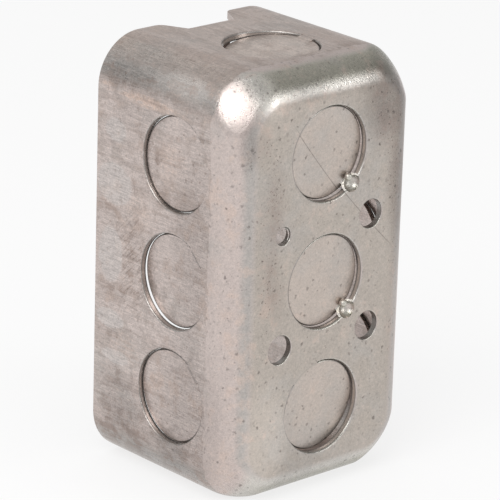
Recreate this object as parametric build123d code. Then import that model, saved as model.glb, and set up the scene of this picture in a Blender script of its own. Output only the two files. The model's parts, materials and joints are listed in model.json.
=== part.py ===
"""Drawn steel handy box, 4 in long, 1-7/8 in deep, with half inch knockouts.

The box is pressed from one sheet, so it is one solid: five walls that run into each other
through rounded edges, an open front with an ear bent inward at each end, and eleven
knockout slugs that have been struck inward and hang on one uncut tie each.

Frame: the box stands on one end. Z runs along its length, the back faces +Y, the open
front faces -Y, and the origin is under the middle of the box, on the surface it stands on.
"""
import math
import os

from build123d import *

# Driving dimensions, in millimetres
box_length = 101.6
box_width = 55.8
box_depth = 47.6
sheet = 1.6

# Outside radii: the upright corners between the walls, and the edge all round the back
wall_corner_radius = 11.5
back_edge_radius = 8.8

# The draw flattens the four corners of the back: a large ball trims each tip by this much
corner_ball_radius = 20.0
corner_trim = 1.3
corner_blend_radius = 6.0

# Knockouts for half inch conduit
knockout_radius = 11.1
side_knockout_pitch = 27.6
flat_past_knockout = 0.2
slug_clearance = 0.1
slug_edge_radius = 0.35

# Holes are struck from outside, which rolls their outer edge over
knockout_lip_radius = 0.5
screw_hole_lip_radius = 0.3

# The uncut tie of each slug: a strip of the sheet that steps down from wall to slug
narrow_tie_width = 3.2
tie_width = 4.4
wide_tie_width = 8.0
tie_land = 1.7
sharp_tie_run = 1.3
soft_tie_run = 2.8
tie_crest_radius = 0.8
tie_foot_radius = 0.6

# The round mark of the punch that some ties carry, and the bead thrown up beside it
stake_radius = 2.2
stake_rise = 0.3
stake_wall = 0.5
stake_inside_edge = 0.3
bead_radius = 0.95
bead_inside_edge = 1.35
bead_aside = 0.6
bead_depth = 1.2

# Screw holes in the back, at the corners of a rectangle about its middle
fixing_hole_radius = 3.4
ground_hole_radius = 2.1
back_hole_spacing_x = 26.6
back_hole_spacing_z = 27.0

# Ears for the device and cover screws, in a notch of each end wall's rim
ear_hole_spacing = 83.34
ear_hole_radius = 1.55
ear_width = 12.7
ear_below_rim = 4.3
ear_bend_inside_radius = 1.0
ear_tip_past_hole = 5.2
ear_tip_corner_radius = 4.0
notch_relief = 0.35
notch_flank_degrees = 26.0
notch_rim_radius = 2.5

# How each slug lies. sunk is how far the middle of its outer face is below the wall's.
# lean is the angle of that face along the line to its tie, deeper at the tie if above 0.
# tie is where the tie is, anticlockwise from the wall's own horizontal, seen from outside.
# run is how far the tie's step reaches, and a narrow tie carries the punch's round mark.
BACK_SLUGS = (
    {"sunk": 1.3, "lean": 4.5, "tie": -49.0, "run": sharp_tie_run, "width": narrow_tie_width},
    {"sunk": 1.2, "lean": 4.5, "tie": -49.0, "run": sharp_tie_run, "width": narrow_tie_width},
    {"sunk": 1.25, "lean": -6.0, "tie": 119.0, "run": soft_tie_run, "width": wide_tie_width},
)
SIDE_SLUGS = (
    {"sunk": 1.3, "lean": 1.5, "tie": 40.0, "run": sharp_tie_run, "width": tie_width},
    {"sunk": 1.35, "lean": -3.0, "tie": 45.0, "run": sharp_tie_run, "width": tie_width},
    {"sunk": 0.95, "lean": -2.5, "tie": 45.0, "run": sharp_tie_run, "width": tie_width},
)
END_SLUG = {"sunk": 1.4, "lean": -4.5, "tie": 180.0, "run": soft_tie_run, "width": tie_width}

back_y = box_depth / 2
rim_y = -box_depth / 2
middle_z = box_length / 2
slug_radius = knockout_radius - slug_clearance

# The knockouts stand as near to the rounded back edge as their rolled lips allow
knockout_from_edge = back_edge_radius + flat_past_knockout + knockout_radius + knockout_lip_radius
back_knockout_pitch = middle_z - knockout_from_edge


def rounded_block(width, length, depth, corner_radius, edge_radius):
    """A block behind the rim's plane, its four upright corners and its back edge rounded."""
    block = Pos(0, rim_y + depth / 2, middle_z) * Box(width, depth, length)
    block = fillet(block.edges().filter_by(Axis.Y), corner_radius)
    back_face = block.faces().sort_by(Axis.Y)[-1]
    return fillet(back_face.edges(), edge_radius)


def corner_ball_middle():
    """From the box's middle to the middle of the ball at +X and +Z, on the tip's diagonal."""
    inset = wall_corner_radius - (wall_corner_radius - back_edge_radius) / math.sqrt(2)
    along = (corner_ball_radius + corner_trim - back_edge_radius) / math.sqrt(3)
    return (
        box_width / 2 - inset - along,
        back_y - back_edge_radius - along,
        box_length / 2 - inset - along,
    )


def trim_corners(block, ball_radius):
    """The block with the four corners of its back cut to a ball, and the edges of the cuts."""
    x, y, z = corner_ball_middle()
    reach = wall_corner_radius + 2 * sheet
    found = []
    for sx in (1, -1):
        for sz in (1, -1):
            middle = Vector(sx * x, y, middle_z + sz * z)
            tip = Pos(
                sx * (box_width - reach) / 2 + sx * sheet / 2,
                back_y - reach / 2 + sheet / 2,
                middle_z + sz * (box_length - reach) / 2 + sz * sheet / 2,
            )
            block = block - (tip * Box(reach, reach, reach) - Pos(middle) * Sphere(ball_radius))
            found.append(middle)
    edges = []
    for edge in block.edges():
        for middle in found:
            gaps = [abs((edge @ at - middle).length - ball_radius) for at in (0, 0.5, 1)]
            if max(gaps) < 0.01:
                edges.append(edge)
    return block, edges


def drawn_shell():
    """The five walls as drawn: outside block less the hollow, open at the front."""
    outside = rounded_block(
        box_width, box_length, box_depth, wall_corner_radius, back_edge_radius
    )
    outside, cuts = trim_corners(outside, corner_ball_radius)
    outside = fillet(cuts, corner_blend_radius)
    hollow = rounded_block(
        box_width - 2 * sheet,
        box_length - 2 * sheet,
        box_depth - sheet,
        wall_corner_radius - sheet,
        back_edge_radius - sheet,
    )
    hollow, cuts = trim_corners(hollow, corner_ball_radius - sheet)
    return outside - hollow


def rim_notch():
    """The notch in the upper end wall, whose flanks open out and round over into the rim."""
    floor_y = rim_y + ear_below_rim + ear_bend_inside_radius + sheet
    floor_half = ear_width / 2 + notch_relief
    flank_run = (floor_y - rim_y) * math.tan(math.radians(notch_flank_degrees))
    mouth_half = floor_half + flank_run
    over_half = mouth_half + 2 * notch_rim_radius
    past_rim = rim_y - sheet
    outline = FilletPolyline(
        (over_half, rim_y),
        (mouth_half, rim_y),
        (floor_half, floor_y),
        (-floor_half, floor_y),
        (-mouth_half, rim_y),
        (-over_half, rim_y),
        radius=(notch_rim_radius, notch_relief, notch_relief, notch_rim_radius),
    )
    closing = Polyline(
        (-over_half, rim_y), (-over_half, past_rim), (over_half, past_rim), (over_half, rim_y)
    )
    face = make_face(outline.edges() + closing.edges())
    return Pos(0, 0, box_length - 1.5 * sheet) * extrude(face, 3 * sheet)


def ear():
    """The upper ear: the end wall runs on into the notch and is bent inward past the hole."""
    face_y = rim_y + ear_below_rim
    wall_y = face_y + ear_bend_inside_radius + 2 * sheet
    hole_z = middle_z + ear_hole_spacing / 2
    tip_z = hole_z - ear_tip_past_hole
    outside = FilletPolyline(
        (wall_y, box_length),
        (face_y, box_length),
        (face_y, tip_z),
        radius=ear_bend_inside_radius + sheet,
    )
    inside = FilletPolyline(
        (face_y + sheet, tip_z),
        (face_y + sheet, box_length - sheet),
        (wall_y, box_length - sheet),
        radius=ear_bend_inside_radius,
    )
    tip = Line(outside @ 1, inside @ 0)
    root = Line(inside @ 1, outside @ 0)
    face = make_face(outside.edges() + tip.edges() + inside.edges() + root.edges())
    strip = extrude(Plane.YZ * face, ear_width / 2, both=True)
    tip_edges = strip.edges().filter_by(Axis.Y).group_by(Axis.Z)[0]
    strip = fillet(tip_edges, ear_tip_corner_radius)
    hole = Pos(0, face_y, hole_z) * Rot(90, 0, 0) * Cylinder(ear_hole_radius, 4 * sheet)
    return strip - hole


def struck_hole(radius, lip):
    """What a struck hole takes from a wall at height 0: round, its outer edge rolled over."""
    side = Polyline((0, -2 * sheet), (radius, -2 * sheet), (radius, -lip))
    roll = CenterArc((radius + lip, -lip), lip, 180, -90)
    top = Polyline((radius + lip, 0), (radius + lip, sheet), (0, sheet), (0, -2 * sheet))
    face = make_face(side.edges() + roll.edges() + top.edges())
    return revolve(Plane.XZ * face, Axis.Z)


def slug_height(reach, lies):
    """Height of a slug's outer face over the wall's, at this reach towards its tie."""
    return -lies["sunk"] - reach * math.tan(math.radians(lies["lean"]))


def tie_corners(lies):
    """The corners of a tie's upper line, as reach and height: root, crest, foot and toe."""
    crest_reach = knockout_radius + (lies["run"] - sharp_tie_run) / 2
    foot_reach = crest_reach - lies["run"]
    toe_reach = foot_reach - tie_land
    return (
        (crest_reach + tie_land, 0.0),
        (crest_reach, 0.0),
        (foot_reach, slug_height(foot_reach, lies)),
        (toe_reach, slug_height(toe_reach, lies)),
    )


def tie(lies):
    """The tie, towards +X of the knockout: level with the wall, a step, level with the slug."""
    root, crest, foot, toe = tie_corners(lies)
    back_off = sheet * math.tan(math.atan2(crest[1] - foot[1], lies["run"]) / 2)
    slug_sheet = sheet / math.cos(math.radians(lies["lean"]))
    bends = (tie_crest_radius, tie_foot_radius)
    upper = FilletPolyline(root, crest, foot, toe, radius=bends)
    lower = FilletPolyline(
        (toe[0], toe[1] - slug_sheet),
        (foot[0] + back_off, slug_height(foot[0] + back_off, lies) - slug_sheet),
        (crest[0] + back_off, -sheet),
        (root[0] + back_off, -sheet),
        radius=bends,
    )
    toe_end = Line(upper @ 1, lower @ 0)
    root_end = Line(lower @ 1, upper @ 0)
    face = make_face(upper.edges() + toe_end.edges() + lower.edges() + root_end.edges())
    return extrude(Plane.XZ * face, lies["width"] / 2, both=True)


def stake_ball(radius):
    """A ball about the middle of a punch mark, which lies over the knockout's edge."""
    return Pos(knockout_radius - stake_inside_edge, 0, stake_rise) * Sphere(radius)


def stake_boss(lies):
    """The metal that the punch pushes out below a tie, no higher than the tie's upper line."""
    root, crest, foot, toe = tie_corners(lies)
    ball_radius = stake_radius + stake_wall
    below = -4 * ball_radius
    upper = FilletPolyline(root, crest, foot, toe, radius=(tie_crest_radius, tie_foot_radius))
    under = Polyline(toe, (toe[0], below), (root[0], below), root)
    face = make_face(upper.edges() + under.edges())
    return stake_ball(ball_radius) & extrude(Plane.XZ * face, ball_radius, both=True)


def stake_bead():
    """The bead of metal that the punch throws up where its mark meets the slug."""
    return Pos(knockout_radius - bead_inside_edge, bead_aside, -bead_depth) * Sphere(bead_radius)


def tie_seat(lies):
    """What a tie takes from the wall beside its hole, so that it can step down from there."""
    reach = tie_corners(lies)[0][0]
    return Pos(reach / 2, 0, 0) * Box(reach, lies["width"], 4 * sheet)


def slug(lies):
    """The slug with its tie, towards +X, in the wall's frame: the outer face is at height 0."""
    disc = Pos(0, 0, -sheet / 2) * Cylinder(slug_radius, sheet)
    rim = disc.edges().filter_by(GeomType.CIRCLE).sort_by(Axis.Z)[-1]
    disc = fillet(rim, slug_edge_radius)
    disc = Pos(0, 0, -lies["sunk"]) * Rot(0, lies["lean"], 0) * disc
    return disc + tie(lies)


def back_plane(x, z):
    """A point of the back, seen from outside: right is -X and up is +Z."""
    return Plane(origin=(x, back_y, z), x_dir=(-1, 0, 0), z_dir=(0, 1, 0))


def side_plane(side, z):
    """A knockout's middle on the long wall at side +1 or -1, seen from outside."""
    return Plane(
        origin=(side * box_width / 2, back_y - knockout_from_edge, z),
        x_dir=(0, side, 0),
        z_dir=(side, 0, 0),
    )


def end_plane(end):
    """A knockout's middle on the end wall at end +1, the upper one, or -1."""
    return Plane(
        origin=(0, back_y - knockout_from_edge, middle_z + end * box_length / 2),
        x_dir=(end, 0, 0),
        z_dir=(0, 0, end),
    )


def knockouts():
    """Every knockout as its plane and how its slug lies."""
    found = []
    for row, lies in enumerate(BACK_SLUGS):
        found.append((back_plane(0, middle_z + (1 - row) * back_knockout_pitch), lies))
    for side in (1, -1):
        for row, lies in enumerate(SIDE_SLUGS):
            found.append((side_plane(side, middle_z + (1 - row) * side_knockout_pitch), lies))
    for end in (1, -1):
        found.append((end_plane(end), END_SLUG))
    return found


def back_holes():
    """Three plain fixing holes and the tapped ground hole, all through the back."""
    cutters = []
    for sx in (1, -1):
        for sz in (1, -1):
            is_ground = sx > 0 and sz > 0
            radius = ground_hole_radius if is_ground else fixing_hole_radius
            place = back_plane(
                sx * back_hole_spacing_x / 2, middle_z + sz * back_hole_spacing_z / 2
            )
            cutters.append(place.location * struck_hole(radius, screw_hole_lip_radius))
    return cutters


def handy_box():
    """The whole pressing as one solid."""
    notch = rim_notch()
    upper_ear = ear()
    half_way = Plane.XY.offset(middle_z)
    body = drawn_shell() - notch - mirror(notch, about=half_way)
    body = body + upper_ear + mirror(upper_ear, about=half_way)
    for plane, lies in knockouts():
        turned = plane.location * Rot(0, 0, lies["tie"])
        body = body - turned * struck_hole(knockout_radius, knockout_lip_radius)
        body = body - turned * tie_seat(lies)
        body = body + turned * slug(lies)
        if lies["width"] == narrow_tie_width:
            body = body + turned * stake_boss(lies) - turned * stake_ball(stake_radius)
            body = body + turned * stake_bead()
    for cutter in back_holes():
        body = body - cutter
    return body


os.makedirs("parts", exist_ok=True)
export_step(handy_box(), "parts/handy_box.step")
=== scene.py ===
"""Looks of a drawn steel handy box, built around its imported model.

Frame: the box stands on one end. Z runs along its length, the closed back faces +Y, the open
front faces -Y, and the origin is under its middle, on the floor. Blender's lengths are metres.
Inside the steel's material, lengths are millimetres.
"""
import functools
import json
import math

import bpy
import numpy as np
from mathutils import Matrix, Vector


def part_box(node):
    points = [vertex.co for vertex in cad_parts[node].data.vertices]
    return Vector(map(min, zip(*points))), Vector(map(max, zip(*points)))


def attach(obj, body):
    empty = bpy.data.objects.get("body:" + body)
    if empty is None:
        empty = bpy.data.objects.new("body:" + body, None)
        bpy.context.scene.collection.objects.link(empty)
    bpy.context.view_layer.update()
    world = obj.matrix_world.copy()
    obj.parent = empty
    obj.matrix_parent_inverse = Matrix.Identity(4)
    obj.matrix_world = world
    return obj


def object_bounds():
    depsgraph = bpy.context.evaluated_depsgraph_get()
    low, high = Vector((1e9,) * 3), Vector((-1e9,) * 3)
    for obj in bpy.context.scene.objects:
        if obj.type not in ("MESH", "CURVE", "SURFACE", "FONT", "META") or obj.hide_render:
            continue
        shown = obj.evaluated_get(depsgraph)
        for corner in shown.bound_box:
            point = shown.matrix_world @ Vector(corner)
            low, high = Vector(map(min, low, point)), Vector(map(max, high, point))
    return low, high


bl_info = {
    "name": "Handy box looks",
    "version": (1, 0, 0),
    "blender": (4, 5, 0),
    "location": "3D View > Sidebar > Handy box",
    "description": "Galvanised steel, screw threads and a plain studio for a steel handy box",
    "category": "Object",
}

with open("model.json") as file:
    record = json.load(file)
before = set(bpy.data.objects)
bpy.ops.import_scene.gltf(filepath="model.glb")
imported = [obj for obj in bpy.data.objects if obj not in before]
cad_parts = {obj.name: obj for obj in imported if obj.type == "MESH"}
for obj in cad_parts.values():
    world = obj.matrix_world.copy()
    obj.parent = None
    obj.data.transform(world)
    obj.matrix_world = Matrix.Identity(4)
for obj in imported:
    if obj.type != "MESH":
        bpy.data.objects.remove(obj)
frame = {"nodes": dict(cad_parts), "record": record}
cad_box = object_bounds()

BODY = "root"
BOX_NODE = "handy_box"
MM_PER_M = 1000.0

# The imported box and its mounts, in millimetres
SIDE_X, BACK_Y, TOP_Z = (length * MM_PER_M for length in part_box(BOX_NODE)[1])
MIDDLE_Z = TOP_Z / 2
MOUNTS = {mount["name"]: mount for mount in frame["record"]["mounts"]}
BACK_HOLE_X = MOUNTS["ground_hole"]["pos_m"][0] * MM_PER_M
BACK_HOLE_RISE = MOUNTS["ground_hole"]["pos_m"][2] * MM_PER_M - MIDDLE_Z

# The knockouts and punch marks where the solid has them, in millimetres
KNOCKOUT_RADIUS = 11.1
KNOCKOUT_FROM_EDGE = 20.6
KNOCKOUT_Y = BACK_Y - KNOCKOUT_FROM_EDGE
SIDE_PITCH = 27.6
BACK_PITCH = MIDDLE_Z - KNOCKOUT_FROM_EDGE
PUNCH_REACH = 10.8
PUNCH_TURN = math.radians(-49.0)
PUNCH_RADIUS = 2.2

# The walls of the holes in the back all lie within this distance of their axes
BACK_HOLE_REACH = 3.75

# How deep below a face the marks of the press are painted
MARK_DEPTH = 2.0

# A surface is a wall's face where its normal lies along the wall's by more than the second of
# these, and a cut through the wall where it does by less than the first
FACES_ASIDE = 0.35
FACES_OUT = 0.7


# Shader maths

class Value:
    """A node's output that takes part in Python arithmetic: each operator adds a Math node."""

    def __init__(self, recipe, socket):
        self.recipe = recipe
        self.socket = socket

    def other(self, output):
        """Another output of the same node."""
        return Value(self.recipe, self.socket.node.outputs[output])

    def __add__(self, other):
        return self.recipe.math("ADD", self, other)

    def __sub__(self, other):
        return self.recipe.math("SUBTRACT", self, other)

    def __rsub__(self, other):
        return self.recipe.math("SUBTRACT", other, self)

    def __mul__(self, other):
        return self.recipe.math("MULTIPLY", self, other)

    def __abs__(self):
        return self.recipe.math("ABSOLUTE", self)

    __radd__ = __add__
    __rmul__ = __mul__


class Recipe:
    """The nodes of one material or world, written as expressions."""

    def __init__(self, owner):
        owner.use_nodes = True
        self.tree = owner.node_tree
        self.tree.nodes.clear()

    def node(self, kind, settings=None, sockets=None, output=0):
        """Adds a node: its settings first, then the values or links of its sockets."""
        made = self.tree.nodes.new(kind)
        for name, setting in (settings or {}).items():
            setattr(made, name, setting)
        for name, value in (sockets or {}).items():
            socket = made.inputs[name]
            if isinstance(value, Value):
                self.tree.links.new(value.socket, socket)
            else:
                socket.default_value = value
        return Value(self, made.outputs[output]) if made.outputs else None

    def math(self, operation, *values):
        return self.node("ShaderNodeMath", {"operation": operation}, dict(enumerate(values)))

    def vector_math(self, operation, *values, output=0):
        return self.node(
            "ShaderNodeVectorMath", {"operation": operation}, dict(enumerate(values)), output
        )

    def fold(self, operation, values):
        """One number from many, by a Math node between each and what comes before it."""
        return functools.reduce(functools.partial(self.math, operation), values)

    def largest(self, *values):
        return self.fold("MAXIMUM", values)

    def smallest(self, *values):
        return self.fold("MINIMUM", values)

    def length(self, *parts):
        """The length of a vector with these parts."""
        squares = [part * part for part in parts]
        return self.math("SQRT", self.fold("ADD", squares))

    def split(self, vector):
        """The three numbers of a vector."""
        x = self.node("ShaderNodeSeparateXYZ", sockets={0: vector})
        return x, x.other(1), x.other(2)

    def join(self, x, y, z):
        return self.node("ShaderNodeCombineXYZ", sockets={0: x, 1: y, 2: z})

    def ease(self, value, start, end):
        """0 up to start, 1 from end on, and a smooth step between them."""
        return self.node(
            "ShaderNodeMapRange",
            {"interpolation_type": "SMOOTHSTEP"},
            {"Value": value, "From Min": start, "From Max": end},
        )

    def fade(self, value, start, end):
        """1 up to start, 0 from end on, and a smooth step between them."""
        return 1.0 - self.ease(value, start, end)

    def ring(self, distance, inner, outer, soft):
        """1 between two distances, with soft borders of this width outside them."""
        return self.ease(distance, inner - soft, inner) * self.fade(distance, outer, outer + soft)

    def noise(self, place, scale, detail, rough):
        """Cloudy noise about 0, from -1 to 1."""
        cloud = self.node(
            "ShaderNodeTexNoise",
            sockets={"Vector": place, "Scale": scale, "Detail": detail, "Roughness": rough},
        )
        return (cloud - 0.5) * 2.0

    def patch(self, place, middle, reach):
        """1 in the middle of a soft ellipsoid with these half lengths, and 0 outside it."""
        away = self.vector_math("SUBTRACT", place, middle)
        away = self.vector_math("DIVIDE", away, reach)
        return self.fade(self.vector_math("LENGTH", away, output=1), 0.3, 1.0)

    def patches(self, place, table):
        """The sum of a table's soft patches, each with its own strength, and 1 at most."""
        total = 0.0
        for middle, reach, strength in table:
            total = self.patch(place, middle, reach) * strength + total
        return self.smallest(total, 1.0)

    def mix(self, factor, first, second):
        """The colour first where the factor is 0, second where it is 1."""
        return self.node(
            "ShaderNodeMix",
            {"data_type": "RGBA"},
            {0: factor, 6: first, 7: second},
            output=2,
        )

    def coats(self, colour, *coats):
        """A colour with others laid over it in turn, each as far as its mask covers."""
        for mask, coat in coats:
            colour = self.mix(mask, colour, coat)
        return colour

    def shade(self, colour, factor):
        """A colour made lighter or darker by a factor."""
        return self.node(
            "ShaderNodeVectorMath", {"operation": "SCALE"}, {0: colour, "Scale": factor}
        )


# Settings that a user would change

def colour_property(name, description, default):
    return bpy.props.FloatVectorProperty(
        name=name, description=description, subtype="COLOR", default=default, min=0.0, max=1.0
    )


class SteelSettings(bpy.types.PropertyGroup):
    """Colours of the zinc coat and how glossy it is."""

    back_zinc: colour_property(
        "Zinc of the back", "Colour of the zinc coat on the back", (0.480, 0.430, 0.385)
    )
    bend_zinc: colour_property(
        "Zinc of the bends", "Colour of the coat on the bends", (0.585, 0.505, 0.475)
    )
    wall_zinc: colour_property(
        "Zinc of the walls", "Colour of the coat on the drawn walls", (0.56, 0.485, 0.455)
    )
    end_zinc: colour_property(
        "Zinc of the ends", "Colour of the coat on the two end walls", (0.50, 0.41, 0.36)
    )
    slug_zinc: colour_property(
        "Zinc of the slugs", "Colour of the knockout slugs of the back and the ends",
        (0.585, 0.505, 0.455),
    )
    # Random greyer clouds of the coat, and also a painted cool reflection on the edge of the back
    cool_zinc: colour_property(
        "Cool zinc", "Colour where the coat is greyer", (0.435, 0.415, 0.395)
    )
    rosy_zinc: colour_property(
        "Rosy zinc", "Colour where the coat is rubbed thin", (0.62, 0.485, 0.415)
    )
    clean_zinc: colour_property(
        "Clean zinc", "Colour of the clean places on a drawn wall", (0.56, 0.53, 0.515)
    )
    # Painted highlight: the tint of the lamp's highlight on the bend between the back and an end
    bright_zinc: colour_property(
        "Bright zinc", "Colour of the bend between the back and an end", (0.60, 0.575, 0.535)
    )
    olive_zinc: colour_property(
        "Olive zinc", "Colour of that bend where it nears the end", (0.40, 0.385, 0.33)
    )
    stain: colour_property(
        "Stain", "Colour of the brown drawing marks and stains", (0.33, 0.265, 0.235)
    )
    pit: colour_property("Pit", "Colour of the small dark pits", (0.14, 0.12, 0.11))
    sheared: colour_property(
        "Sheared edge", "Colour of the bare edge of the sheet", (0.30, 0.285, 0.27)
    )
    # Partly the real burnished band of a cut edge, partly a painted highlight on it
    burnished: colour_property(
        "Burnished edge", "Colour of the smooth part of a sheared edge", (0.60, 0.55, 0.52)
    )
    # Painted shade in the gaps round the slugs
    gap: colour_property("Gap", "Colour deep in the gap round a slug", (0.02, 0.02, 0.02))
    # Partly the punch's polish, partly a painted highlight on the bead and the dish
    punched: colour_property("Punch mark", "Colour of the punch marks", (0.58, 0.56, 0.50))
    gloss_roughness: bpy.props.FloatProperty(
        name="Roughness", description="Roughness of the clean coat", subtype="FACTOR",
        default=0.34, min=0.05, max=1.0,
    )


class ThreadSettings(bpy.types.PropertyGroup):
    """The ridges of the screw threads."""

    pitch: bpy.props.FloatProperty(
        name="Pitch", description="Distance from ridge to ridge",
        unit="LENGTH", default=0.000794, min=0.0001, max=0.01,
    )
    ear_ridge: bpy.props.FloatProperty(
        name="Ear ridge", description="How far an ear's thread stands into its hole",
        unit="LENGTH", default=0.00018, min=0.0, max=0.001,
    )
    ground_ridge: bpy.props.FloatProperty(
        name="Ground ridge", description="How far the ground hole's thread stands into it",
        unit="LENGTH", default=0.0002, min=0.0, max=0.001,
    )


class StageSettings(bpy.types.PropertyGroup):
    """The floor, the room's light and the camera."""

    floor_colour: colour_property("Floor", "Colour of the floor", (0.93, 0.93, 0.93))
    room_light: colour_property("Room", "Light that the room sheds", (0.72, 0.72, 0.72))
    dark_room_light: colour_property(
        "Dark side of the room", "Light that its dark side sheds", (0.42, 0.42, 0.42)
    )
    camera_place: bpy.props.FloatVectorProperty(
        name="Camera place", description="Where the camera stands",
        subtype="TRANSLATION", unit="LENGTH", default=(0.5149, 0.5655, 0.3195),
    )
    camera_aim: bpy.props.FloatVectorProperty(
        name="Camera aim", description="The point that the camera looks at",
        subtype="TRANSLATION", unit="LENGTH", default=(0.00058, -0.00122, 0.05142),
    )
    camera_roll: bpy.props.FloatProperty(
        name="Camera roll", description="How far the camera is turned about its view",
        subtype="ANGLE", unit="ROTATION", default=math.radians(1.8),
    )
    camera_lens: bpy.props.FloatProperty(
        name="Lens", description="Focal length on a 36 mm sensor",
        unit="CAMERA", default=253.85, min=10.0, max=1000.0,
    )


# Places on the steel

# Brown stains, a few of them also painted shade: the middle, the half lengths and the strength of
# each
STAINS_AND_PAINTED_SHADE = (
    ((SIDE_X, -10.0, 51.0), (4.0, 8.0, 13.0), 0.45),
    ((SIDE_X, -18.0, 43.0), (4.0, 8.0, 2.2), 0.7),
    ((SIDE_X, -18.0, 32.0), (4.0, 7.0, 1.5), 0.65),
    ((SIDE_X, -16.0, 22.5), (4.0, 9.0, 3.2), 0.55),
    # Partly a stain, partly a painted reflection of the floor's shadow
    ((SIDE_X, -12.0, 6.0), (4.0, 20.0, 15.0), 0.75),
    ((SIDE_X, 9.0, 4.0), (5.0, 16.0, 12.0), 0.6),
    ((SIDE_X, -19.0, 63.0), (4.0, 9.0, 4.0), 0.5),
    ((SIDE_X, -4.0, 69.5), (4.0, 16.0, 3.0), 0.5),
    ((SIDE_X, -10.0, 93.0), (6.0, 20.0, 4.0), 0.6),
    ((SIDE_X, -4.0, 76.5), (4.0, 1.4, 4.5), 0.8),
    ((SIDE_X, 12.0, 87.5), (4.0, 1.5, 4.0), 0.8),
    ((16.4, BACK_Y, 55.0), (2.8, 4.0, 8.0), 0.5),
    ((14.4, BACK_Y, 49.0), (3.2, 4.0, 8.0), 0.5),
    ((15.6, BACK_Y, 72.0), (3.6, 4.0, 13.0), 0.6),
    ((18.0, BACK_Y, 62.0), (5.0, 4.0, 26.0), 0.35),
    ((20.5, BACK_Y, 86.0), (4.0, 5.0, 6.0), 0.5),
    # Partly stains, partly painted shade of the dark reflections where the real back curves away
    # at its right edge and top right corner
    ((-18.0, BACK_Y, 90.0), (9.0, 5.0, 15.0), 1.0),
    ((-22.0, BACK_Y, 72.0), (6.0, 6.0, 18.0), 0.8),
    ((-22.0, BACK_Y, 40.0), (4.0, 5.0, 34.0), 0.4),
    ((0.0, 14.0, TOP_Z), (30.0, 6.0, 5.0), 0.8),
)

# Warm traces where the coat is rubbed thin: as the stains
TRACES = (
    ((SIDE_X, -6.5, 90.5), (4.0, 12.0, 1.9), 1.6),
    ((SIDE_X, -20.5, 91.5), (4.0, 4.0, 2.0), 0.8),
    ((SIDE_X, 4.0, 90.0), (4.0, 5.0, 1.2), 0.7),
    ((SIDE_X, 0.0, 78.0), (4.0, 6.0, 8.0), 0.5),
    ((SIDE_X, -9.0, 64.0), (4.0, 6.0, 6.0), 0.45),
    ((SIDE_X, -14.0, 30.0), (4.0, 9.0, 6.0), 0.4),
    ((24.5, 19.0, 47.5), (4.0, 4.0, 3.0), 0.6),
    ((25.0, 18.0, 12.0), (4.0, 5.0, 9.0), 0.4),
)

# Uneven tone of the coat, and painted shade and painted highlights: places painted darker, or
# lighter where the strength is negative: as the stains
TONES_AND_PAINTED_LIGHT = (
    ((SIDE_X, 9.0, 60.0), (5.0, 10.0, 30.0), 0.18),
    ((SIDE_X, 9.0, 20.0), (5.0, 16.0, 24.0), 0.2),
    ((SIDE_X, -6.0, 4.0), (5.0, 24.0, 16.0), 0.14),
    ((SIDE_X, -14.0, 17.0), (4.0, 10.0, 9.0), 0.17),
    ((SIDE_X, -10.0, 86.0), (4.0, 12.0, 6.0), 0.1),
    ((SIDE_X, -6.5, 90.5), (4.0, 11.0, 1.4), -0.14),
    # Painted shade and painted highlights, from here to the next comment: on the bend between the
    # +X side and the top, and round the highlights on the bends at the top corner
    ((27.0, -16.0, 95.0), (5.0, 13.0, 4.0), 0.2),
    ((26.0, 5.0, 96.5), (5.0, 12.0, 4.0), -0.36),
    ((23.6, 22.6, 86.5), (3.0, 3.0, 8.0), 0.2),
    ((19.5, 19.6, 98.6), (3.5, 4.5, 3.2), 0.26),
    ((17.0, 23.4, 94.8), (4.5, 3.0, 4.0), -0.22),
    ((6.0, 22.9, 96.5), (8.0, 3.0, 3.0), 0.22),
    ((-5.0, 22.6, 97.0), (15.0, 3.0, 2.2), -0.15),
    # Painted shade of the dark reflections on the back's right edge and top right corner, whose
    # real surface curves away
    ((-23.0, 22.0, 72.0), (6.0, 6.0, 30.0), 0.28),
    ((-17.0, BACK_Y, 93.0), (12.0, 6.0, 15.0), 0.26),
    # Lighter or darker tone
    ((17.0, BACK_Y, 16.0), (9.0, 5.0, 20.0), -0.2),
    ((8.0, BACK_Y, 5.0), (16.0, 5.0, 9.0), 0.1),
    ((0.0, KNOCKOUT_Y, TOP_Z), (10.0, 10.0, 3.0), -0.12),
)

# Grime of fine dark specks along the edges of the back: as the stains
GRIME = (
    ((17.6, BACK_Y, 52.5), (2.8, 3.0, 7.5), 1.0),
    ((17.0, BACK_Y, 84.0), (3.0, 3.0, 5.0), 0.8),
    ((17.2, BACK_Y, 74.5), (3.2, 3.0, 7.0), 0.9),
    ((18.0, BACK_Y, 40.0), (2.5, 3.0, 8.0), 0.5),
    ((-20.0, BACK_Y, 74.0), (3.5, 3.0, 9.0), 0.7),
    ((-17.0, BACK_Y, 88.0), (6.0, 3.0, 4.0), 0.6),
    ((-21.5, BACK_Y, 52.0), (2.0, 3.0, 16.0), 0.5),
)

# Clean, light places between the rubbed ones on the +X side: as the stains
CLEAN = (
    ((SIDE_X, -17.5, 81.5), (4.0, 6.0, 4.5), 0.7),
    ((SIDE_X, -17.5, 68.5), (4.0, 9.0, 7.0), 1.0),
    ((SIDE_X, -18.5, 51.5), (4.0, 6.0, 9.5), 1.0),
    ((SIDE_X, -18.5, 35.8), (4.0, 7.0, 3.4), 0.9),
    ((SIDE_X, -16.0, 27.0), (4.0, 8.0, 3.0), 0.6),
)

# The short rubbed strokes beside the middle knockout of the +X side: middle and half lengths
STROKES_MIDDLE = (SIDE_X, -11.0, 51.0)
STROKES_REACH = (4.0, 11.0, 19.0)

# The long scratch across the back lies on a circle: its middle and radius, and where it ends
SCRATCH_MIDDLE = (-282.0, 328.0)
SCRATCH_RADIUS = 378.0
SCRATCH_LOW_Z = 53.0
SCRATCH_HIGH_Z = 90.0

# Where the flat, drawn part of the walls ends and the bend into the back begins
DRAWN_UP_TO_Y = 15.0


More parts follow.
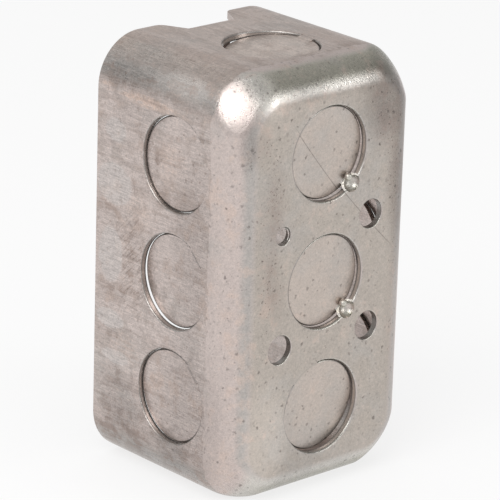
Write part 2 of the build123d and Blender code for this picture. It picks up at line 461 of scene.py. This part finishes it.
class Spot:
    """Where a point of the steel lies on the box, for all the marks that are painted on it."""

    def __init__(self, recipe):
        place = recipe.node("ShaderNodeTexCoord", output=3)
        self.place = recipe.vector_math("MULTIPLY", place, (MM_PER_M,) * 3)
        self.x, self.y, self.z = recipe.split(self.place)
        self.rise = abs(self.z - MIDDLE_Z)
        facing = recipe.node("ShaderNodeTexCoord", output=1)
        self.toward_x, self.toward_y, toward_z = recipe.split(facing)
        self.toward_end = abs(toward_z)

        # The kinds of surface: drawn wall, back, end, and the bends between them
        border = recipe.noise(self.place, scale=0.25, detail=4.0, rough=0.6) * 1.5
        self.past_drawn = border + self.y - DRAWN_UP_TO_Y
        self.drawn = recipe.fade(self.past_drawn, -0.15, 0.35)
        self.on_back = recipe.ease(self.toward_y, 0.92, 0.99)
        self.on_ends = recipe.ease(self.toward_end, 0.5, 0.9)
        self.bend = 1.0 - recipe.largest(self.drawn, self.on_back)
        self.end_bend = (
            recipe.ease(self.toward_end, 0.15, 0.4) * recipe.fade(self.toward_end, 0.9, 0.99)
        )

    def nearest_step(self, recipe, pitch):
        """Height from the nearest of three knockouts, a pitch apart about mid height."""
        return recipe.smallest(self.rise, abs(self.rise - pitch))

    def knockouts(self, recipe):
        """For each set of knockouts: the distance from the nearest axis less the knockout's
        radius, the depth below the face, and how far the surface faces out of it."""
        across = self.y - KNOCKOUT_Y
        of_back = recipe.length(self.x, self.nearest_step(recipe, BACK_PITCH))
        of_sides = recipe.length(across, self.nearest_step(recipe, SIDE_PITCH))
        of_ends = recipe.length(self.x, across)
        return (
            (of_back - KNOCKOUT_RADIUS, BACK_Y - self.y, abs(self.toward_y)),
            (of_sides - KNOCKOUT_RADIUS, SIDE_X - abs(self.x), abs(self.toward_x)),
            (of_ends - KNOCKOUT_RADIUS, MIDDLE_Z - self.rise, self.toward_end),
        )


class Noises:
    """Cloudy noises that vary the steel. The first three are drawn out along Y."""

    def __init__(self, recipe, place):
        along_draw = recipe.vector_math("MULTIPLY", place, (1.0, 0.08, 1.0))
        self.hairlines = recipe.noise(along_draw, scale=4.0, detail=2.0, rough=0.7)
        self.lines = recipe.noise(along_draw, scale=1.0, detail=4.0, rough=0.7)
        self.bands = recipe.noise(along_draw, scale=0.25, detail=3.0, rough=0.6)
        self.clouds = recipe.noise(place, scale=0.06, detail=2.0, rough=0.5)
        self.blotches = recipe.noise(place, scale=0.28, detail=4.0, rough=0.62)
        self.mottle = recipe.noise(place, scale=1.2, detail=3.0, rough=0.7)
        self.grain = recipe.noise(place, scale=3.0, detail=2.0, rough=0.7)


def back_hole_walls(recipe, spot):
    """1 on the walls of the four small holes in the back."""
    from_axis = recipe.length(
        abs(spot.x) - BACK_HOLE_X, abs(spot.z - MIDDLE_Z) - BACK_HOLE_RISE
    )
    faces_sideways = recipe.fade(abs(spot.toward_y), FACES_ASIDE, FACES_OUT)
    near_back = recipe.ease(spot.y, BACK_Y - 3.0, BACK_Y - MARK_DEPTH)
    near_axis = recipe.fade(from_axis, BACK_HOLE_REACH, BACK_HOLE_REACH + 0.15)
    return faces_sideways * near_back * near_axis


def punch_marks(recipe, spot):
    """1 on the round punch marks in the ties of the upper and the middle back knockout."""
    found = 0.0
    for knockout_z in (MIDDLE_Z + BACK_PITCH, MIDDLE_Z):
        distance = recipe.length(
            spot.x + PUNCH_REACH * math.cos(PUNCH_TURN),
            spot.z - (knockout_z + PUNCH_REACH * math.sin(PUNCH_TURN)),
            spot.y - BACK_Y,
        )
        found = recipe.fade(distance, PUNCH_RADIUS - 0.5, PUNCH_RADIUS) + found
    return found


class Pressing:
    """Masks of what the press left: slugs, punch marks and the edges that it sheared, with
    painted shade in the gaps round the slugs and painted highlights on burnished bands.
    """

    def __init__(self, recipe, spot):
        slug = gap = sheared = burnished = 0.0
        for past_edge, depth, toward in spot.knockouts(recipe):
            near = recipe.fade(depth, MARK_DEPTH, MARK_DEPTH + 0.2)
            faces_out = recipe.ease(toward, FACES_ASIDE, FACES_OUT)
            slug = near * recipe.fade(past_edge, -0.6, -0.3) + slug
            # Painted shade: a faint dark line where a slug sits flush, and a dark ring on a sunk
            # slug's edge under the hole's wall
            flush_line = recipe.ring(past_edge, -0.12, 0.02, soft=0.1) * 0.12
            sunk_edge = recipe.ring(past_edge, -0.35, 0.0, soft=0.25) * 0.7
            sunk_edge = sunk_edge * recipe.ease(depth, 0.3, 0.8)
            gap = near * faces_out * recipe.largest(flush_line, sunk_edge) + gap
            cut = near * (1.0 - faces_out) * recipe.ring(past_edge, -0.5, 0.5, soft=0.12)
            sheared = cut + sheared
            # The burnished band of a cut, partly real burnish, partly a painted highlight
            burnished = cut * recipe.ring(depth, 0.6, 1.15, soft=0.2) + burnished
        self.slug = recipe.smallest(slug, 1.0)
        self.gap = recipe.smallest(gap, 1.0)
        self.sheared = recipe.smallest(sheared + back_hole_walls(recipe, spot), 1.0)
        self.burnished = recipe.smallest(burnished, 1.0)
        self.punched = punch_marks(recipe, spot)


def cross_strokes(recipe, spot):
    """Short rubbed strokes that rise towards the back on the +X side, as noise about 0."""
    along = (spot.y + spot.z) * math.sqrt(0.5)
    across = (spot.z - spot.y) * math.sqrt(0.5)
    slanted = recipe.join(spot.x, along * 0.12, across)
    strokes = recipe.noise(slanted, scale=2.4, detail=3.0, rough=0.7)
    return strokes * recipe.patch(spot.place, STROKES_MIDDLE, STROKES_REACH)


def specks(recipe, place, scale, share):
    """Scattered soft dots of unlike size and strength, in a share of the cells."""
    cells = recipe.node("ShaderNodeTexVoronoi", sockets={"Vector": place, "Scale": scale})
    chance = recipe.split(cells.other("Color"))[0]
    return recipe.fade(cells, 0.1, 0.28) * recipe.ease(chance, 1.0 - share, 1.2)


def scratch(recipe, spot):
    """The long thin scratch over the back and its upper slug."""
    radius = recipe.length(spot.x - SCRATCH_MIDDLE[0], spot.z - SCRATCH_MIDDLE[1])
    line = recipe.fade(abs(radius - SCRATCH_RADIUS), 0.04, 0.16)
    low_end = recipe.ease(spot.z, SCRATCH_LOW_Z, SCRATCH_LOW_Z + 6.0)
    high_end = recipe.fade(spot.z, SCRATCH_HIGH_Z - 4.0, SCRATCH_HIGH_Z)
    return line * low_end * high_end * recipe.ease(spot.y, BACK_Y - 4.0, BACK_Y - 3.0)


class Wear:
    """Masks of what rubbed off the coat, and of what was left on it; the stains' mask also
    carries painted shade at the back's right edge and on the lower +X side.
    """

    def __init__(self, recipe, spot, noises, slug):
        blotches, mottle, lines = noises.blotches, noises.mottle, noises.lines
        rubbed = spot.drawn * (
            recipe.ease(blotches + noises.bands * 0.7 + lines * 0.15, -0.03, 0.13) * 0.26
            + recipe.ease(lines + blotches * 0.5, 0.0, 0.6) * 0.35
        )
        unevenness = blotches + mottle * 0.8 + lines * spot.drawn * 0.6
        # Stains, and at a few places painted shade
        browned_and_shaded = recipe.patches(spot.place, STAINS_AND_PAINTED_SHADE) * recipe.ease(unevenness, -0.7, 0.6)
        self.strokes = cross_strokes(recipe, spot)
        self.stained = recipe.smallest(
            rubbed + browned_and_shaded * 0.8 + recipe.ease(self.strokes, 0.0, 0.3) * 0.45, 1.0
        )
        clean = recipe.patches(spot.place, CLEAN) + unevenness * 0.3
        self.clean = recipe.ease(clean, 0.3, 0.5) * spot.drawn
        sway = recipe.node(
            "ShaderNodeTexNoise", sockets={"Vector": spot.place, "Scale": 1.3}, output="Color"
        )
        swayed = recipe.vector_math("ADD", spot.place, sway)
        self.pits = specks(recipe, swayed, scale=0.55, share=0.95)
        dots = specks(recipe, swayed, scale=1.1, share=0.9) * (1.0 - slug * 0.5)
        grime = specks(recipe, swayed, scale=1.7, share=1.1)
        grime = grime * recipe.patches(spot.place, GRIME)
        self.dark_specks = recipe.smallest(
            self.pits * 0.75 + dots * (0.45 + browned_and_shaded * 1.6) + grime * 2.2, 0.9
        )
        self.scratched = scratch(recipe, spot)
        self.border = (
            recipe.ring(spot.past_drawn, -0.1, 0.1, soft=0.25) * recipe.ease(mottle, -0.4, 0.6)
        )


# Steel

def coat_colour(recipe, spot, noises, slug, colours):
    """The zinc: a painted cool reflection on the edge of the back, a painted highlight tint on
    the bend to an end, rosier on the bends, olive near the ends.
    """
    upright = recipe.fade(spot.toward_end, 0.15, 0.5)
    # Painted reflection: a cool grey band where the bend turns to face the back
    painted_reflection_band = spot.bend * upright * recipe.ease(spot.toward_y, 0.75, 0.9)
    bend_to_back = spot.end_bend * (1.0 - spot.drawn)
    # Painted highlight: a neutral tint where the lamp's highlight lies on the bend to an end
    painted_highlight = (
        bend_to_back * recipe.fade(abs(spot.x), 19.0, 23.0)
        * recipe.ease(spot.toward_end, 0.1, 0.3)
    )
    olive = (
        bend_to_back * recipe.ease(spot.toward_end, 0.4, 0.65) * recipe.fade(spot.x, 13.0, 20.0)
    )
    flat_slug = slug * recipe.largest(spot.on_back * 0.6, spot.on_ends * 0.8)
    cool_clouds = recipe.ease(noises.clouds + noises.blotches * 0.6, -0.1, 0.5)
    warm = recipe.largest(
        recipe.patches(spot.place, TRACES) * recipe.ease(noises.lines + noises.mottle, -0.5, 0.5),
        recipe.ease(noises.blotches - noises.clouds * 0.6, 0.1, 0.5) * 0.45,
        recipe.ease(noises.mottle + noises.hairlines * 0.5, 0.15, 0.7) * 0.45,
    )
    return recipe.coats(
        colours["bend_zinc"],
        (spot.on_back, colours["back_zinc"]),
        (spot.drawn, colours["wall_zinc"]),
        (painted_reflection_band * 0.8, colours["cool_zinc"]),
        (spot.end_bend * spot.drawn * 0.8, colours["cool_zinc"]),
        (painted_highlight, colours["bright_zinc"]),
        (olive, colours["olive_zinc"]),
        (spot.on_ends * spot.drawn * 0.6, colours["end_zinc"]),
        (flat_slug, colours["slug_zinc"]),
        (cool_clouds * 0.5, colours["cool_zinc"]),
        (warm, colours["rosy_zinc"]),
    )


def steel_colour(recipe, spot, noises, pressing, wear, colours):
    """The coat with its wear, its uneven tone, painted shade and painted highlights, and the bare
    metal of its edges with painted shade in the gaps.
    """
    worn = recipe.coats(
        coat_colour(recipe, spot, noises, pressing.slug, colours),
        (wear.stained * (1.0 - wear.clean * 0.75), colours["stain"]),
        (wear.clean * 0.45, colours["clean_zinc"]),
        (wear.dark_specks, recipe.mix(spot.drawn, colours["pit"], colours["stain"])),
        (wear.scratched * 0.5, colours["pit"]),
        (wear.border * 0.4, colours["stain"]),
    )
    # Uneven tone, with the painted shade and painted highlights of the tone table
    tone_and_painted_light = (
        1.0
        - recipe.patches(spot.place, TONES_AND_PAINTED_LIGHT)
        + noises.hairlines * spot.drawn * 0.42
        + noises.lines * spot.drawn * 0.1
        + noises.mottle * 0.2
        + noises.grain * (0.28 + spot.drawn * 0.14)
        + noises.blotches * 0.1
        - wear.strokes * 0.3
    )
    return recipe.coats(
        recipe.shade(worn, tone_and_painted_light),
        (pressing.sheared * 0.9, colours["sheared"]),
        (pressing.burnished * 0.9, colours["burnished"]),
        (pressing.gap * 0.9, colours["gap"]),
        (pressing.punched * 0.85, colours["punched"]),
    )


def steel_material(settings):
    """Zinc coated steel: walls drawn along Y, smooth bends, and a mottled back."""
    material = bpy.data.materials.new("galvanised_steel_finish")
    recipe = Recipe(material)
    colours = {
        name: (*getattr(settings, name), 1.0)
        for name, kind in settings.bl_rna.properties.items() if kind.subtype == "COLOR"
    }
    spot = Spot(recipe)
    noises = Noises(recipe, spot.place)
    pressing = Pressing(recipe, spot)
    wear = Wear(recipe, spot, noises, pressing.slug)
    roughness = (
        settings.gloss_roughness
        + noises.lines * spot.drawn * 0.08
        + noises.mottle * 0.06
        + wear.stained * 0.1
        - pressing.burnished * 0.1
        - spot.end_bend * 0.06
    )
    height = (
        (noises.hairlines * 0.3 + noises.lines * 0.7) * spot.drawn
        + noises.mottle * (0.6 + spot.bend * 0.9)
        + noises.blotches * 0.9
        + noises.grain * (0.25 + spot.bend * 0.25 + spot.end_bend * 1.7)
        - wear.pits * 0.6
        - wear.scratched * 0.6
    )
    bump = recipe.node(
        "ShaderNodeBump", sockets={"Strength": 0.5, "Distance": 0.00003, "Height": height}
    )
    surface = recipe.node(
        "ShaderNodeBsdfPrincipled",
        sockets={
            "Base Color": steel_colour(recipe, spot, noises, pressing, wear, colours),
            "Metallic": 0.92,
            "Roughness": roughness,
            "Normal": bump,
        },
    )
    recipe.node("ShaderNodeOutputMaterial", sockets={"Surface": surface})
    return material


# Threads

STEPS_PER_TURN = 48
FOOT_INSIDE_STEEL = 0.00006

# How much shorter than its hole a thread is, in pitches
PITCHES_LEFT_BARE = 0.9

# Half widths of a ridge at its crest and at its foot, as shares of the pitch
CREST_SHARE = 0.06
FOOT_SHARE = 0.42


def thread_ridge(name, mount, ridge, pitch, material):
    """A screw thread's ridge round a threaded hole along Y, as one closed helical strip.

    Its section is a low trapezium whose foot lies a hair inside the steel. A point of the strip
    is the hole's middle, plus the section's radius turned about Y by the helix angle, plus
    along Y the section's place and a pitch for each full turn. Over the last quarter turn at
    each end the ridge sinks back into the steel.
    """
    middle = mount["pos_m"]
    bore = mount["dims"]["r_mm"] / MM_PER_M
    length = mount["dims"]["length_mm"] / MM_PER_M
    turns = length / pitch - PITCHES_LEFT_BARE
    steps = int(round(turns * STEPS_PER_TURN)) + 1
    angle = np.linspace(0.0, turns * 2.0 * np.pi, steps)[:, None]
    foot = bore + FOOT_INSIDE_STEEL
    crest = bore - ridge
    section_radius = np.array([[foot, crest, crest, foot]])
    section_place = np.array([[-FOOT_SHARE, -CREST_SHARE, CREST_SHARE, FOOT_SHARE]]) * pitch
    grown = np.clip(np.minimum(angle, angle[-1] - angle) / (0.5 * np.pi), 0.0, 1.0)
    radius = foot + (section_radius - foot) * grown
    along = section_place + (angle / (2.0 * np.pi) - turns / 2.0) * pitch
    points = np.stack(
        [
            middle[0] + radius * np.cos(angle),
            middle[1] + along,
            middle[2] + radius * np.sin(angle),
        ],
        axis=2,
    ).reshape(-1, 3)
    row = np.arange(steps - 1)[:, None] * 4
    here = np.arange(4)[None, :]
    after = (here + 1) % 4
    faces = np.stack([row + here, row + 4 + here, row + 4 + after, row + after], axis=2)
    faces = faces.reshape(-1, 4).tolist()
    last = (steps - 1) * 4
    faces.extend([(0, 1, 2, 3), (last + 3, last + 2, last + 1, last)])
    mesh = bpy.data.meshes.new(name)
    mesh.from_pydata(points.tolist(), [], faces)
    mesh.materials.append(material)
    made = bpy.data.objects.new(name, mesh)
    bpy.context.collection.objects.link(made)
    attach(made, BODY)


# Stage

WHITE = (1.0, 1.0, 1.0, 1.0)
FLOOR_HALF_WIDTH = 4.0
FLOOR_GLOW_SHARE = 0.75
DARK_SIDE_OF_ROOM = (-0.935, 0.34, 0.10)


def floor_material(colour):
    """A pale floor that the camera, gloss and glass see nearly white, with its shadow kept."""
    material = bpy.data.materials.new("pale_floor")
    recipe = Recipe(material)
    path = recipe.node("ShaderNodeLightPath")
    rays = ("Is Camera Ray", "Is Glossy Ray", "Is Transmission Ray")
    seen = recipe.largest(*(path.other(ray) for ray in rays))
    plain = recipe.node("ShaderNodeBsdfDiffuse", sockets={"Color": (*colour, 1.0)})
    glow = recipe.node("ShaderNodeEmission", sockets={"Color": WHITE, "Strength": 1.0})
    surface = recipe.node(
        "ShaderNodeMixShader", sockets={0: seen * FLOOR_GLOW_SHARE, 1: plain, 2: glow}
    )
    recipe.node("ShaderNodeOutputMaterial", sockets={"Surface": surface})
    return material


def add_floor(colour):
    """A flat square under the box, whose corners are at plus and minus its half width."""
    half = FLOOR_HALF_WIDTH
    corners = [(-half, -half, 0.0), (half, -half, 0.0), (half, half, 0.0), (-half, half, 0.0)]
    mesh = bpy.data.meshes.new("floor")
    mesh.from_pydata(corners, [], [(0, 1, 2, 3)])
    mesh.materials.append(floor_material(colour))
    floor = bpy.data.objects.new("floor", mesh)
    bpy.context.collection.objects.link(floor)


def add_world(room_light, dark_room_light):
    """Even light all round, dimmer towards one side, and white where the camera sees it."""
    world = bpy.data.worlds.new("studio")
    bpy.context.scene.world = world
    recipe = Recipe(world)
    facing = recipe.node("ShaderNodeTexCoord", output=0)
    toward_dark = recipe.vector_math("DOT_PRODUCT", facing, DARK_SIDE_OF_ROOM, output=1)
    room = recipe.mix(
        recipe.ease(toward_dark, 0.4, 0.9), (*room_light, 1.0), (*dark_room_light, 1.0)
    )
    camera_ray = recipe.node("ShaderNodeLightPath")
    colour = recipe.mix(camera_ray, room, WHITE)
    light = recipe.node("ShaderNodeBackground", sockets={"Color": colour, "Strength": 1.0})
    recipe.node("ShaderNodeOutputWorld", sockets={"Surface": light})


def add_softbox(name, azimuth, elevation, distance, half_angle, brightness):
    """A square area light round the box's middle, given by how wide and how bright it looks."""
    turn = math.radians(azimuth)
    rise = math.radians(elevation)
    toward = Vector(
        (math.cos(turn) * math.cos(rise), math.sin(turn) * math.cos(rise), math.sin(rise))
    )
    light = bpy.data.lights.new(name, "AREA")
    light.size = 2.0 * distance * math.tan(math.radians(half_angle))
    light.energy = brightness * math.pi * light.size ** 2
    lamp = bpy.data.objects.new(name, light)
    bpy.context.collection.objects.link(lamp)
    low, high = (Vector(corner) for corner in cad_box)
    lamp.location = (low + high) / 2 + toward * distance
    lamp.rotation_euler = toward.to_track_quat("Z", "Y").to_euler()


def add_camera(settings):
    """The camera at the photograph's place, turned to its aim and rolled about its view."""
    camera = bpy.data.objects.new("camera", bpy.data.cameras.new("camera"))
    bpy.context.collection.objects.link(camera)
    view = Vector(settings.camera_aim) - Vector(settings.camera_place)
    turn = view.to_track_quat("-Z", "Y").to_matrix().to_4x4()
    roll = Matrix.Rotation(settings.camera_roll, 4, "Z")
    camera.matrix_world = Matrix.Translation(settings.camera_place) @ turn @ roll
    camera.data.lens = settings.camera_lens
    camera.data.sensor_width = 36.0
    camera.data.clip_start = 0.01
    bpy.context.scene.camera = camera


# Operators and panel

class HANDYBOX_OT_steel(bpy.types.Operator):
    """Give the pressed box its galvanised steel"""

    bl_idname = "handybox.steel"
    bl_label = "Galvanise the box"

    def execute(self, context):
        material = steel_material(context.scene.handybox_steel)
        for slot in frame["nodes"][BOX_NODE].material_slots:
            slot.material = material
        return {"FINISHED"}


class HANDYBOX_OT_threads(bpy.types.Operator):
    """Cut the screw threads of the two ears and of the ground hole"""

    bl_idname = "handybox.threads"
    bl_label = "Cut the threads"

    def execute(self, context):
        settings = context.scene.handybox_threads
        material = frame["nodes"][BOX_NODE].material_slots[0].material
        for hole, ridge in (
            ("ground_hole", settings.ground_ridge),
            ("upper_ear_thread", settings.ear_ridge),
            ("lower_ear_thread", settings.ear_ridge),
        ):
            thread_ridge(hole + "_ridge", MOUNTS[hole], ridge, settings.pitch, material)
        return {"FINISHED"}


class HANDYBOX_OT_stage(bpy.types.Operator):
    """Set up the floor, the lights and the camera"""

    bl_idname = "handybox.stage"
    bl_label = "Set the stage"

    def execute(self, context):
        settings = context.scene.handybox_stage
        context.scene.view_settings.view_transform = "Standard"
        add_camera(settings)
        add_floor(settings.floor_colour)
        add_world(settings.room_light, settings.dark_room_light)
        add_softbox(
            "key_softbox",
            azimuth=22.0, elevation=47.0, distance=1.0, half_angle=19.0, brightness=3.0,
        )
        add_softbox(
            "low_softbox",
            azimuth=118.0, elevation=22.0, distance=0.7, half_angle=10.0, brightness=3.4,
        )
        return {"FINISHED"}


class HANDYBOX_PT_panel(bpy.types.Panel):
    """Lists the settings and the steps of the handy box"""

    bl_label = "Handy box"
    bl_idname = "HANDYBOX_PT_panel"
    bl_space_type = "VIEW_3D"
    bl_region_type = "UI"
    bl_category = "Handy box"

    def draw(self, context):
        for scene_name in GROUPS:
            group = getattr(context.scene, scene_name)
            for name in group.bl_rna.properties.keys():
                if name not in ("rna_type", "name"):
                    self.layout.prop(group, name)
        for operator in OPERATORS:
            self.layout.operator(operator.bl_idname)


OPERATORS = (HANDYBOX_OT_steel, HANDYBOX_OT_threads, HANDYBOX_OT_stage)
GROUPS = {
    "handybox_steel": SteelSettings,
    "handybox_threads": ThreadSettings,
    "handybox_stage": StageSettings,
}
CLASSES = (*GROUPS.values(), *OPERATORS, HANDYBOX_PT_panel)


def register():
    for made in CLASSES:
        bpy.utils.register_class(made)
    for name, group in GROUPS.items():
        setattr(bpy.types.Scene, name, bpy.props.PointerProperty(type=group))


def unregister():
    for name in GROUPS:
        delattr(bpy.types.Scene, name)
    for made in reversed(CLASSES):
        bpy.utils.unregister_class(made)


def main():
    register()
    bpy.ops.handybox.steel()
    bpy.ops.handybox.threads()
    bpy.ops.handybox.stage()


if __name__ == "__main__":
    main()
